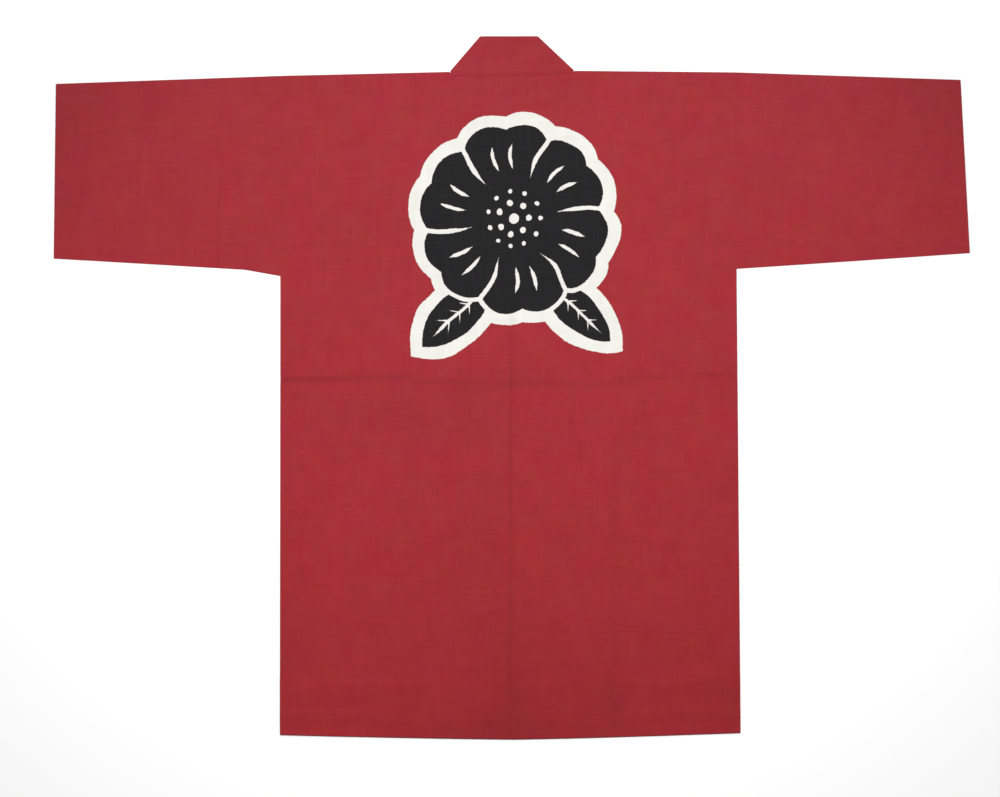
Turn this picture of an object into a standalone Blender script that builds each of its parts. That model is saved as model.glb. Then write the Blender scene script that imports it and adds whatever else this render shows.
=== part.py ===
"""A happi coat of red cotton, laid flat on a surface with its back up.

Metres, +Z up. X runs across the coat to the viewer's right, Y runs from the hem to the collar.
The origin is on the surface, under the middle of the coat. Each piece is a mid surface worked
out from the coat's sizes, and Solidify gives it the wall of its cloth.
"""

import math
from collections import namedtuple

import bmesh
import bpy

# Cloth and the air between its layers
CLOTH = 0.0010
COLLAR_THICKNESS = 0.0011
LAYER_GAP = 0.0003
SEAM_GAP = 0.0003

# Outline of each half, corner by corner, as (x, y) of its outermost edge
Half = namedtuple(
    "Half",
    "name sign neck shoulder underarm hem cuff_top cuff_bottom sleeve_bend collar_top",
)
HALVES = (
    Half(
        name="left",
        sign=-1,
        neck=(-0.0840, 0.4266),
        shoulder=(-0.3115, 0.4212),
        underarm=(-0.3122, 0.1510),
        hem=(-0.3129, -0.4685),
        cuff_top=(-0.6152, 0.4104),
        cuff_bottom=(-0.6180, 0.1745),
        sleeve_bend=(-0.3600, 0.1595),
        collar_top=(-0.0429, 0.4745),
    ),
    Half(
        name="right",
        sign=1,
        neck=(0.0847, 0.4280),
        shoulder=(0.3027, 0.4259),
        underarm=(0.3034, 0.1607),
        hem=(0.3088, -0.4658),
        cuff_top=(0.6055, 0.4158),
        cuff_bottom=(0.6180, 0.1820),
        sleeve_bend=(0.4600, 0.1710),
        collar_top=(0.0354, 0.4745),
    ),
)

# Centre back seam, hem and neck seam
CENTRE_SEAM_TOP_X = -0.0003
CENTRE_SEAM_HEM_X = -0.0045
HEM_CENTRE_Y = -0.4745
HEM_POWER = 1.3  # 1 is a straight rise from centre to side, 2 a round one
NeckPoint = namedtuple("NeckPoint", "x y")
NECK_SEAM = (
    NeckPoint(x=-0.0790, y=0.4222),
    NeckPoint(x=0.0000, y=0.4228),
    NeckPoint(x=0.0500, y=0.4245),
    NeckPoint(x=0.0790, y=0.4256),
)

# Collar band: its seam runs down the edge of each front
COLLAR_WIDTH = 0.0530
FRONT_EDGE_FROM_CENTRE = 0.0570  # at the hem
COLLAR_TURN_POWER = 6  # how close to the neck the band swings to its fold
FOLD_START = 0.0010  # from the neck point up the fold to the band's sewn edge
COLLAR_SAG = 0.0001

# Drape of the back: the run of its slope beside a band, and its sag between the bands
DRAPE_RUN = 0.0080
CENTRE_SAG = 0.0001

# How finely each surface is divided
FOLD_STEPS = 3
PANEL_COLUMNS = 6
ROWS_BELOW_UNDERARM = 14
ROWS_ABOVE_UNDERARM = 6
SLEEVE_STATIONS = 9
SLEEVE_ROWS = 7
COLLAR_RUN_ROWS = 16
COLLAR_NECK_ROWS = 10
COLLAR_COLUMNS = 4

# Cotton, as linear colour
RED = (0.371, 0.033, 0.048, 1.0)
COLLAR_RED = (0.352, 0.035, 0.045, 1.0)
COTTON_ROUGHNESS = 0.85
SHARP_ANGLE = math.radians(50)


def lerp(a, b, t):
    return a + (b - a) * t


def mix(a, b, t):
    return tuple(lerp(p, q, t) for p, q in zip(a, b))


def smooth(t):
    t = min(1.0, max(0.0, t))
    return t * t * (3 - 2 * t)


def x_on_line(start, end, y):
    """X at height y on the line through two (x, y) points."""
    return lerp(start[0], end[0], (y - start[1]) / (end[1] - start[1]))


def y_on_line(start, end, x):
    return lerp(start[1], end[1], (x - start[0]) / (end[0] - start[0]))


def side_x(half, y):
    """Outline of the body: its side seam, then its armhole."""
    top = half.shoulder if y > half.underarm[1] else half.hem
    return x_on_line(half.underarm, top, y)


def shoulder_y(half, x):
    return y_on_line(half.neck, half.shoulder, x)


def centre_x(y):
    t = (y - HEM_CENTRE_Y) / (NECK_SEAM[1].y - HEM_CENTRE_Y)
    return lerp(CENTRE_SEAM_HEM_X, CENTRE_SEAM_TOP_X, t)


def hem_y(half, x):
    t = min(1.0, abs(x / half.hem[0]))
    return lerp(HEM_CENTRE_Y, half.hem[1], t**HEM_POWER)


def neck_seam_y(x):
    """Height of the seam between the back and the collar band."""
    for start, end in zip(NECK_SEAM, NECK_SEAM[1:]):
        if x <= end.x:
            return y_on_line(start, end, x)
    return NECK_SEAM[-1].y


def front_edge_x(half, y):
    """The seam between a front and its run of the collar band."""
    t = (y - half.hem[1]) / (half.neck[1] - half.hem[1])
    return lerp(CENTRE_SEAM_HEM_X + half.sign * FRONT_EDGE_FROM_CENTRE, half.neck[0], t)


def free_edge_x(half, y):
    return front_edge_x(half, y) - half.sign * COLLAR_WIDTH


def back_z(half, x, y):
    """Mid surface of the back: over the front, up over the band, and down between the bands."""
    step = COLLAR_THICKNESS - CLOTH
    outside = (x - front_edge_x(half, y)) * half.sign
    lift = step * (1 - smooth(outside / DRAPE_RUN))
    gap = abs(free_edge_x(half, y) - centre_x(y))
    inside = min(1.0, abs(x - centre_x(y)) / gap)
    sag = CENTRE_SAG * (gap / COLLAR_WIDTH) * (1 - inside**2)
    return CLOTH * 1.5 + LAYER_GAP + lift - sag


def fold_arc(start_z, end_z):
    """Steps round a fold between two heights: (distance outwards, height) of each inner point."""
    radius = (start_z - end_z) / 2
    middle = (start_z + end_z) / 2
    angles = (math.pi * step / FOLD_STEPS for step in range(1, FOLD_STEPS))
    return [(radius * math.sin(a), middle + radius * math.cos(a)) for a in angles]


def fold_inset(start_z, end_z, wall):
    """How far inside the outline a fold's centre line runs."""
    return abs(start_z - end_z) / 2 + wall / 2


def add_row(bm, points):
    return [bm.verts.new(point) for point in points]


def join_rows(bm, rows):
    """Faces between each row of vertices and the next."""
    for row, following in zip(rows, rows[1:]):
        for i in range(len(row) - 1):
            bm.faces.new((row[i], row[i + 1], following[i + 1], following[i]))


def body_levels(half):
    """Shares of the way from hem to shoulder, with one row at the underarm."""
    underarm = (half.underarm[1] - half.hem[1]) / (half.shoulder[1] - half.hem[1])
    below = [underarm * i / ROWS_BELOW_UNDERARM for i in range(ROWS_BELOW_UNDERARM)]
    above = [lerp(underarm, 1.0, i / ROWS_ABOVE_UNDERARM) for i in range(ROWS_ABOVE_UNDERARM + 1)]
    return below + above


def row_heights(half, level):
    """Heights of a row where it crosses the front's edge and where it reaches the side."""
    start = hem_y(half, front_edge_x(half, half.hem[1]))
    at_front = lerp(start, shoulder_y(half, half.neck[0]), level)
    return at_front, lerp(half.hem[1], half.shoulder[1], level)


def outer_columns(half, y, edge_x):
    """X of the columns that a front and its back share, from the front's edge to the side."""
    front_x = front_edge_x(half, y) + half.sign * SEAM_GAP / 2
    step_x = front_x + half.sign * DRAPE_RUN
    return [front_x] + [lerp(step_x, edge_x, i / PANEL_COLUMNS) for i in range(PANEL_COLUMNS + 1)]


def inner_columns(half, y):
    """X of the back's columns over the collar band and on to the centre seam."""
    centre = centre_x(y) + half.sign * SEAM_GAP / 2
    free = free_edge_x(half, y)
    front = front_edge_x(half, y)
    near_front = front - half.sign * abs(NECK_SEAM[0].x - HALVES[0].neck[0])
    return [centre, lerp(centre, free, 0.5), free, lerp(free, near_front, 0.5), near_front]


def panel_rows(half):
    """For each level from hem to shoulder: the (x, y) over the band, then those over the front."""
    for row, level in enumerate(body_levels(half)):
        y_at_front, y_at_side = row_heights(half, level)
        inset = SEAM_GAP / 2 if row >= ROWS_BELOW_UNDERARM else 0.0
        edge_x = side_x(half, y_at_side) - half.sign * inset
        over_band = [
            (x, lerp(hem_y(half, x), neck_seam_y(x) - SEAM_GAP / 2, level))
            for x in inner_columns(half, y_at_front)
        ]
        over_front = [
            (x, lerp(hem_y(half, x), shoulder_y(half, x), level))
            for x in outer_columns(half, y_at_front, edge_x)
        ]
        yield over_band, over_front


def back_panel(half):
    """The back, from the centre seam to the side seam and from the hem to neck and shoulder."""
    bm = bmesh.new()
    rows = []
    for over_band, over_front in panel_rows(half):
        rows.append(add_row(bm, [(x, y, back_z(half, x, y)) for x, y in over_band + over_front]))
    join_rows(bm, rows)
    return finish_piece(f"{half.name}_back", bm, CLOTH, RED)


def front_panel(half):
    """The front, flat on the surface, from its seam with the collar band to the side seam."""
    bm = bmesh.new()
    rows = [add_row(bm, [(x, y, CLOTH / 2) for x, y in flat]) for _, flat in panel_rows(half)]
    join_rows(bm, rows)
    return finish_piece(f"{half.name}_front", bm, CLOTH, RED)


def sleeve_bottom_y(half, x):
    """Seam under the sleeve: it bends a little on its way from the underarm to the cuff."""
    if abs(x) < abs(half.sleeve_bend[0]):
        return y_on_line(half.underarm, half.sleeve_bend, x)
    return y_on_line(half.sleeve_bend, half.cuff_bottom, x)


def sleeve(half):
    """A tube of one cloth, folded along the top and sewn below, with an open cuff."""
    bm = bmesh.new()
    upper_z, lower_z = CLOTH * 1.5 + LAYER_GAP, CLOTH / 2
    inset = fold_inset(upper_z, lower_z, CLOTH)
    arc = fold_arc(upper_z, lower_z)
    rings = []
    for station in range(SLEEVE_STATIONS + 1):
        share = station / SLEEVE_STATIONS
        top_x = lerp(half.shoulder[0] + half.sign * SEAM_GAP / 2, half.cuff_top[0], share)
        low_x = lerp(half.underarm[0] + half.sign * SEAM_GAP / 2, half.cuff_bottom[0], share)
        top_y = y_on_line(half.shoulder, half.cuff_top, top_x) - inset
        low_y = sleeve_bottom_y(half, low_x) + inset
        line = [mix((top_x, top_y), (low_x, low_y), i / SLEEVE_ROWS) for i in range(SLEEVE_ROWS + 1)]
        over = [(x, y, upper_z) for x, y in line]
        under = [(x, y, lower_z) for x, y in reversed(line)]
        bottom_fold = [(low_x, low_y - out, z) for out, z in arc]
        top_fold = [(top_x, top_y + out, z) for out, z in reversed(arc)]
        ring = add_row(bm, over + bottom_fold + under + top_fold)
        rings.append(ring + ring[:1])
    join_rows(bm, rings)
    return finish_piece(f"{half.name}_sleeve", bm, CLOTH, RED)


def collar_fold(half):
    """Ends of the line that the band folds about at one side of the neck, and its outward way."""
    run = (half.collar_top[0] - half.neck[0], half.collar_top[1] - half.neck[1])
    length = math.hypot(*run)
    outward = (half.sign * abs(run[1]) / length, abs(run[0]) / length)
    inset = COLLAR_THICKNESS + LAYER_GAP / 2 + SEAM_GAP
    start = mix(half.neck, half.collar_top, FOLD_START / length)
    low = (start[0] - outward[0] * inset, start[1] - outward[1] * inset)
    high = (half.collar_top[0] - outward[0] * inset, half.collar_top[1] - outward[1] * inset)
    return low, high, outward


def across_band(sewn, free, z):
    """A row of points from the sewn edge of the band to its free edge."""
    points = (mix(sewn, free, i / COLLAR_COLUMNS) for i in range(COLLAR_COLUMNS + 1))
    return [(x, y, z) for x, y in points]


def collar_run(half):
    """Rows of the band down one front, from the hem up to the fold."""
    low, high, _ = collar_fold(half)
    start_y = hem_y(half, half.sign * FRONT_EDGE_FROM_CENTRE)
    rows = []
    for i in range(COLLAR_RUN_ROWS + 1):
        t = i / COLLAR_RUN_ROWS
        y = lerp(start_y, low[1], t)
        turn = t**COLLAR_TURN_POWER
        sewn = (front_edge_x(half, y) - half.sign * SEAM_GAP / 2, y)
        if i == COLLAR_RUN_ROWS:
            sewn = low
        width = mix((-half.sign * COLLAR_WIDTH, 0.0), (high[0] - low[0], high[1] - low[1]), turn)
        free = (sewn[0] + width[0], sewn[1] + width[1])
        rows.append(across_band(sewn, free, COLLAR_THICKNESS / 2))
    return rows


def collar_turn(half):
    """Rows of the band round its fold, between the run below and the neck above."""
    low, high, outward = collar_fold(half)
    below = COLLAR_THICKNESS / 2
    above = COLLAR_THICKNESS * 1.5 + LAYER_GAP
    rows = []
    for out, z in reversed(fold_arc(above, below)):
        shift = (outward[0] * out, outward[1] * out)
        sewn = (low[0] + shift[0], low[1] + shift[1])
        free = (high[0] + shift[0], high[1] + shift[1])
        rows.append(across_band(sewn, free, z))
    return rows


def collar_neck():
    """Rows of the band across the back of the neck, from the left fold to the right one."""
    (left_low, left_high, _), (right_low, right_high, _) = map(collar_fold, HALVES)
    above = COLLAR_THICKNESS * 1.5 + LAYER_GAP
    top_y = HALVES[0].collar_top[1]
    rows = [across_band(left_low, left_high, above)]
    for i in range(COLLAR_NECK_ROWS + 1):
        t = i / COLLAR_NECK_ROWS
        low_x = lerp(NECK_SEAM[0].x + SEAM_GAP, NECK_SEAM[-1].x - SEAM_GAP, t)
        high_x = lerp(left_high[0], right_high[0], (i + 1) / (COLLAR_NECK_ROWS + 2))
        sag = COLLAR_SAG * math.sin(math.pi * t) ** 2
        sewn = (low_x, neck_seam_y(low_x) + SEAM_GAP / 2)
        rows.append(across_band(sewn, (high_x, top_y), above - sag))
    return rows + [across_band(right_low, right_high, above)]


def collar():
    """One long strip of two layers, from hem to hem round the back of the neck."""
    left, right = HALVES
    rows = (
        collar_run(left)
        + collar_turn(left)
        + collar_neck()
        + collar_turn(right)[::-1]
        + collar_run(right)[::-1]
    )
    bm = bmesh.new()
    join_rows(bm, [add_row(bm, row) for row in rows])
    return finish_piece("collar", bm, COLLAR_THICKNESS, COLLAR_RED)


def cotton(name, colour):
    material = bpy.data.materials.new(f"{name}_cotton")
    material.use_nodes = True
    shader = material.node_tree.nodes["Principled BSDF"]
    shader.inputs["Base Color"].default_value = colour
    shader.inputs["Roughness"].default_value = COTTON_ROUGHNESS
    shader.inputs["Metallic"].default_value = 0.0
    return material


def finish_piece(name, bm, wall, colour):
    """Turn a mid surface into an object with an even wall."""
    bmesh.ops.recalc_face_normals(bm, faces=bm.faces)
    mesh = bpy.data.meshes.new(name)
    bm.to_mesh(mesh)
    bm.free()
    mesh.shade_smooth()
    mesh.set_sharp_from_angle(angle=SHARP_ANGLE)
    piece = bpy.data.objects.new(name, mesh)
    piece.data.materials.append(cotton(name, colour))
    shell = piece.modifiers.new("Wall", "SOLIDIFY")
    shell.thickness = wall
    shell.offset = 0.0
    shell.use_even_offset = True
    shell.use_quality_normals = True
    return piece


def build():
    for old in list(bpy.data.objects):
        bpy.data.objects.remove(old, do_unlink=True)
    coat = bpy.data.collections.new("happi_coat")
    bpy.context.scene.collection.children.link(coat)
    for half in HALVES:
        coat.objects.link(back_panel(half))
        coat.objects.link(front_panel(half))
        coat.objects.link(sleeve(half))
    coat.objects.link(collar())


build()
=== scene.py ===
"""Looks of a red cotton happi coat, laid flat with its back up on a pale floor.

Metres, +Z up. X runs across the coat to the viewer's right, Y runs from the hem to the collar.
Each piece is a mid surface worked out from the coat's sizes, and Solidify is the wall of its cloth.
Where the real cloth is folded, as at the hem, the cuffs and the band's edges, the surface is too.
"""

import math
from collections import namedtuple
from functools import cache

import bpy
import numpy as np
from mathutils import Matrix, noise


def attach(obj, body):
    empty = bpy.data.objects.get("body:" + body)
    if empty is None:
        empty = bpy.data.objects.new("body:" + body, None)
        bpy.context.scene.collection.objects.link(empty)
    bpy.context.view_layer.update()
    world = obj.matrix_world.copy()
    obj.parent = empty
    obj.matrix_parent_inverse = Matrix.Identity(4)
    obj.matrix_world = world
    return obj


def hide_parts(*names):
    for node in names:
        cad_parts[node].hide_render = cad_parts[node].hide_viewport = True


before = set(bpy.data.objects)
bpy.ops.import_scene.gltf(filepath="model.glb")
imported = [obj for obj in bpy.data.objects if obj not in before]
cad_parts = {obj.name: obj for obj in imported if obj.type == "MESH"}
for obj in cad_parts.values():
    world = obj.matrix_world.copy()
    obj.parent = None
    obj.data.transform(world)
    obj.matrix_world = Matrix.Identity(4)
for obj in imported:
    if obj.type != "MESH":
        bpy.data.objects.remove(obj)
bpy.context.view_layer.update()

MM = 0.001
X, Y, Z = np.eye(3)

# Outline of each half, corner by corner, as (x, y) of its outermost edge
PLACES = "neck shoulder underarm hem cuff_top cuff_bottom sleeve_bend collar_top"
Half = namedtuple("Half", "name sign " + PLACES)
HALVES = (
    Half(
        name="left",
        sign=-1,
        neck=(-0.0840, 0.4266),
        shoulder=(-0.3115, 0.4212),
        underarm=(-0.3122, 0.1510),
        hem=(-0.3129, -0.4685),
        cuff_top=(-0.6152, 0.4104),
        cuff_bottom=(-0.6180, 0.1745),
        sleeve_bend=(-0.3600, 0.1595),
        collar_top=(-0.0429, 0.4745),
    ),
    Half(
        name="right",
        sign=1,
        neck=(0.0847, 0.4280),
        shoulder=(0.3027, 0.4259),
        underarm=(0.3034, 0.1607),
        hem=(0.3088, -0.4658),
        cuff_top=(0.6055, 0.4158),
        cuff_bottom=(0.6180, 0.1820),
        sleeve_bend=(0.4600, 0.1710),
        collar_top=(0.0354, 0.4745),
    ),
)
CENTRE_SEAM_TOP_X = -0.0003
CENTRE_SEAM_HEM_X = -0.0045
HEM_CENTRE_Y = -0.4745
HEM_POWER = 1.3  # 1 is a straight rise from centre to side, 2 a round one
NECK_SEAM_X = (-0.0790, 0.0000, 0.0500, 0.0790)
NECK_SEAM_Y = (0.4222, 0.4228, 0.4245, 0.4256)
COLLAR_WIDTH = 0.0530
BAND_INSET = 0.3 * MM
FRONT_EDGE_FROM_CENTRE = 0.0570
COLLAR_TURN_POWER = 6  # how close to the neck the band swings to its fold

# Heights of the mid surfaces and thickness of the cloth
WALL = 0.40 * MM
FRONT_Z = 0.32 * MM
BACK_Z = 1.85 * MM
FOLD_RADIUS = 0.25 * MM  # of hem, cuff and band edges
ARC_STEPS = 4
BAND_Z = 0.47 * MM
NECK_BAND_Z = 1.97 * MM
BAND_TOP = 0.93 * MM
BAND_CLEARANCE = 0.06 * MM
BAND_EDGE_SLOPE = 6 * MM
CONTACT_SOFTNESS = 0.05 * MM

# Armhole and centre seams: two cloths meet edge to edge in a shallow valley
STITCHED_GAP = 0.01 * MM
ARMHOLE_DIP = 0.09 * MM
ARMHOLE_DIP_WIDTH = 2.6 * MM
ARMHOLE_DIP_RUN = 6 * MM
CENTRE_DIP = 0.30 * MM
CENTRE_DIP_WIDTH = 2.0 * MM
# The centre seam's turnings lie to the left and lift the cloth there
ALLOWANCE_WIDTH = 9.0 * MM
ALLOWANCE_RISE = 0.26 * MM
ALLOWANCE_START = 3.0 * MM
ALLOWANCE_END = 4.0 * MM
UNDERARM_RUN = 9.0 * MM
NECK_TUCK = 2.0 * MM
FOLD_SETTLE = 12.0 * MM  # how near a fold the relief fades
SIDE_RELIEF = 0.3
FRONT_SHARE = 0.5  # of a trough in the back that shows as a rise in the front
FRONT_RISE = 0.25 * MM
NECK_DIP = 0.66 * MM

# Turnings of the hem and the cuffs
HEM_TURNING = 71 * MM
CUFF_TURNING = 19 * MM

# Rows and columns of the surfaces, as (length, pitch) of each stretch in millimetres
BODY_ROWS = (
    (3, 1.0), (52, 3.2), (24, 2.0), (90, 2.6), (308, 3.6), (14, 1.0), (369, 4.6), (28, 4.0),
    (6, 0.75),
)
CENTRE_TO_NECK = ((1.6, 0.4), (6, 1.2), (71, 3.1))
NECK_TO_SIDE = ((2, 1.0), (100, 3.4), (110, 5.5), (12, 2.4), (3.4, 0.85), (0.6, 0.3))
SLEEVE_COLUMNS = ((0.6, 0.3), (4.4, 0.85), (76, 4.6), (16, 1.2), (186, 4.6), (24, 2.0), (3, 1.0))
SLEEVE_ROUND = ((6, 1.5), (222, 4.4), (8, 1.6))
COLLAR_RUN = ((4, 1.0), (860, 6.2), (24, 1.5))
COLLAR_NECK = ((158, 2.4),)
COLLAR_ACROSS = ((2, 0.5), (49, 3.5), (2, 0.5))

# The picture's scale, for places read off it
PICTURE_WIDTH = 1000
PICTURE_CENTRE = (511.75, 388.0)
PICTURE_POINT = 1.35 * MM


def lerp(a, b, t):
    return a + (b - a) * t


def smooth(t):
    t = np.clip(t, 0.0, 1.0)
    return t * t * (3 - 2 * t)


def x_on_line(start, end, y):
    """X at height y on the line through two (x, y) points."""
    return lerp(start[0], end[0], (y - start[1]) / (end[1] - start[1]))


def y_on_line(start, end, x):
    return lerp(start[1], end[1], (x - start[0]) / (end[0] - start[0]))


def stops(stretches):
    """Shares from 0 to 1 along a line, from (length, pitch) of each stretch of it."""
    places = [0.0]
    for length, pitch in stretches:
        count = max(1, round(length / pitch))
        places += [places[-1] + length / count * (i + 1) for i in range(count)]
    return np.array(places) / places[-1]


def ramp(x, points):
    """A smooth curve through (x, value) points, level beyond the first and the last."""
    value = np.full_like(x, points[0][1])
    for (x0, v0), (x1, v1) in zip(points, points[1:]):
        value = value + (v1 - v0) * smooth((x - x0) / (x1 - x0))
    return value


# Outline


def side_x(half, y):
    below = x_on_line(half.underarm, half.hem, y)
    above = x_on_line(half.underarm, half.shoulder, y)
    return np.where(y > half.underarm[1], above, below)


def shoulder_y(half, x):
    return y_on_line(half.neck, half.shoulder, x)


def centre_x(y):
    return x_on_line((CENTRE_SEAM_HEM_X, HEM_CENTRE_Y), (CENTRE_SEAM_TOP_X, NECK_SEAM_Y[1]), y)


def hem_y(half, x):
    t = np.minimum(1.0, np.abs(x / half.hem[0]))
    return lerp(HEM_CENTRE_Y, half.hem[1], t**HEM_POWER)


def neck_seam_y(x):
    return np.interp(x, NECK_SEAM_X, NECK_SEAM_Y)


def front_edge_x(half, y):
    """The seam between a front and its run of the collar band."""
    t = (y - half.hem[1]) / (half.neck[1] - half.hem[1])
    return lerp(CENTRE_SEAM_HEM_X + half.sign * FRONT_EDGE_FROM_CENTRE, half.neck[0], t)


def free_edge_x(half, y):
    return front_edge_x(half, y) - half.sign * COLLAR_WIDTH


def sleeve_bottom_y(half, x):
    bent = np.abs(x) < abs(half.sleeve_bend[0])
    near = y_on_line(half.underarm, half.sleeve_bend, x)
    return np.where(bent, near, y_on_line(half.sleeve_bend, half.cuff_bottom, x))


# Relief of the laid cloth

# A crease or wrinkle from one point of the picture to another: height (below 0 is a trough)
# and half width in millimetres, how much lighter or darker it is painted along it in per cent
# (painted shade in its hollows, painted highlight on its ridges), and the share of its length
# that each end takes to fade.
Crease = namedtuple("Crease", "x0 y0 x1 y1 height width tone fade", defaults=(0.0, 0.35))
UNITS = {"height": MM, "tone": 0.01}
CREASES = (
    # The fold across the back from when the coat was put away, with painted shade in its hollow
    (273, 379.8, 350, 378.6, -0.66, 4.4, -19, 0.11),
    (341.5, 378.2, 418, 377.6, -0.54, 4.8, -12.5, 0.11),
    (342, 373.8, 402, 373, -0.1, 3.4, -2.5, 0.25), (409, 381, 470, 384.2, -0.26, 4.6, -6.5, 0.14),
    (461.5, 383.8, 528, 384.4, -0.22, 4, -5, 0.13),
    (519.5, 384.4, 580, 383.4, -0.26, 4.2, -7.5, 0.14),
    (571.5, 383.8, 628, 382.6, -0.24, 4.6, -6, 0.15),
    (612, 378.4, 668, 376.6, -0.42, 4.6, -9.5, 0.16), (658, 376.8, 704, 376, -0.18, 4.4, -3.5, 0.2),
    (694, 376.2, 748, 374.4, -0.42, 4.8, -10.5, 0.18), (300, 370, 400, 369, 0.16, 6, 0.8, 0.25),
    (296, 388.5, 398, 387, 0.2, 6.5, 1.4, 0.25), (640, 388, 706, 386, 0.16, 7, 0.8, 0.25),
    # The two long folds beside the centre
    (614.6, 548, 613.5, 742, 0.5, 6.2, -5.2, 0.1), (614.8, 440, 614.3, 572, 0.46, 6.6, -4, 0.18),
    (616, 386, 615.2, 470, 0.34, 7.4, -2, 0.3), (409.5, 380, 409, 520, 0.42, 7.4, -2, 0.2),
    (409, 480, 408, 640, 0.34, 8.2, -1.4), (336.5, 516, 336, 612, 0.12, 7, 2.2, 0.2),
    (330, 400, 331, 690, 0.2, 9), (676, 392, 678, 600, 0.24, 9),
    # Wrinkles that spread from the centre seam above the hem
    (446, 632, 492, 628, -0.6, 5, -5.5, 0.3), (462, 675, 492, 668, -0.68, 4.6, -5.2, 0.3),
    (430, 650, 505, 646, 0.29, 6, 1.5), (450, 664, 478, 658, 0.57, 5, 4.5),
    (470, 684, 505, 681, 0.39, 4), (498, 690, 513, 684, 0.68, 3.6, 5, 0.4),
    (515, 627, 552, 630, -0.52, 4.6, -4.4, 0.3), (540, 629, 584, 635, -0.39, 4.8, -2.6),
    (513, 638, 547, 641, 0.57, 4.6, 3.2), (516, 650, 540, 649, -0.52, 3.8, -4.4, 0.3),
    (534, 651, 566, 650, -0.3, 4.4, -2.6), (515, 675, 546, 676, -0.6, 4, -4.6, 0.3),
    (524, 663, 558, 661, 0.6, 4.6, 3.2), (552, 657, 580, 654, 0.47, 4.2, 2.4),
    (556, 668, 592, 670, -0.55, 4.4, -3.8, 0.3), (574, 690, 612, 692, -0.49, 4.8, -3.2),
    (436, 702, 472, 704, -0.34, 5, -2.8), (538, 684, 566, 688, 0.36, 4.4, 1.5),
    # Short wrinkles over the skirt
    (556, 470, 640, 466, -0.31, 5.2, -0.7, 0.4), (628, 478, 708, 474, -0.47, 5, -1.4),
    (640, 466, 702, 463, 0.39, 5.2, 0.9), (560, 452, 592, 458, -0.36, 4.6, -1.1, 0.4),
    (468, 483, 502, 480, -0.36, 6.2, -1.8, 0.4), (436, 520, 486, 516, -0.26, 5.4, 0, 0.4),
    (655, 520, 688, 524, -0.36, 5, -1.1, 0.4), (350, 452, 412, 455, -0.29, 5.4, -0.7, 0.4),
    (318, 480, 372, 476, 0.26, 6, 0, 0.4), (300, 548, 366, 556, -0.26, 6, 0, 0.4),
    (372, 586, 438, 580, 0.29, 6.2, 0, 0.4), (580, 578, 640, 584, -0.29, 5.2, 0, 0.4),
    (648, 560, 716, 556, 0.29, 6, 0, 0.4), (652, 612, 728, 606, -0.39, 5.4, -1.4),
    (660, 590, 716, 586, -0.31, 5, -1.1), (620, 644, 690, 650, 0.31, 5.6),
    (676, 666, 706, 664, 0.57, 5.4, 2.2), (700, 640, 738, 636, -0.36, 5, -1.4),
    (300, 622, 352, 630, -0.26, 5.6, 0, 0.4), (392, 640, 420, 636, -0.31, 5, 0, 0.4),
    (334, 414, 366, 418, -0.31, 6, -1.4, 0.4), (346, 450, 384, 447, -0.34, 5.6, -1.4, 0.4),
    # Uneven patches over the hem's turning, with painted highlights on its fold edges and painted
    # shade between
    (296, 714, 338, 712, -0.24, 7, -3.4), (340, 700, 404, 698, -0.19, 6, -2.3),
    (480, 722, 566, 724, -0.12, 9, -2.6), (610, 706, 640, 708, 0.17, 6, 1, 0.4),
    (652, 716, 734, 712, -0.19, 8, -2.3, 0.3), (264, 683.4, 412, 683.2, 0.24, 6.2, 5.4, 0.1),
    (400, 683, 506, 682.4, 0.2, 5.4, 1.2, 0.12), (516, 680.4, 600, 679, 0.16, 4.4, 1.6, 0.2),
    (612, 674, 738, 671, 0.2, 9, 3.2, 0.15), (276, 710.6, 404, 710, 0.16, 3.6, 5, 0.12),
    (290, 720.6, 398, 720.2, -0.1, 4, -2.6, 0.15), (276, 727.5, 414, 729, 0.04, 6, 3.4, 0.1),
    (276, 732.8, 420, 735, 0.05, 2.8, 5, 0.1), (410, 731, 506, 732.8, -0.05, 5.4, -2.5, 0.15),
    (640, 694, 738, 692, -0.12, 7, -2.4, 0.2), (634, 709.4, 738, 708, 0.12, 4.6, 2.2, 0.15),
    (624, 720.8, 742, 718.8, -0.14, 4.2, -2.6, 0.1), (622, 725.6, 734, 724.4, 0.1, 3, 4.8, 0.15),
    (616, 731.4, 742, 730, 0.05, 4.4, 3.6, 0.12),
    # Painted shadow under the collar band's edge
    (452, 77.1, 512, 77, 0, 1.4, -4, 0.08), (512, 76.4, 566, 75, 0, 1.6, -4, 0.12),
    # Shoulders and sleeves
    (218.5, 172, 217.4, 270, -0.56, 3, -3.6, 0.12), (219.4, 74, 218.5, 184, -0.3, 3.2, -2, 0.2),
    (226, 120, 225, 262, 0.3, 6, 1.6, 0.2), (806, 78, 807.5, 262, -0.26, 4.2, -0.8, 0.25),
    (845, 140, 846, 254, 0.2, 6.4, -1, 0.3), (140, 108, 152, 250, 0.34, 9, 0, 0.3),
    (884, 98, 880, 246, 0.3, 9, 0, 0.3), (300, 120, 392, 104, 0.32, 11),
    (640, 104, 728, 122, 0.3, 11), (250, 244, 330, 232, 0.34, 9), (262, 262, 318, 300, 0.36, 8),
    (690, 236, 772, 240, 0.32, 9), (700, 296, 748, 262, 0.34, 8), (88, 196, 176, 190, 0.26, 8),
    (842, 190, 930, 196, 0.26, 8),
)
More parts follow.
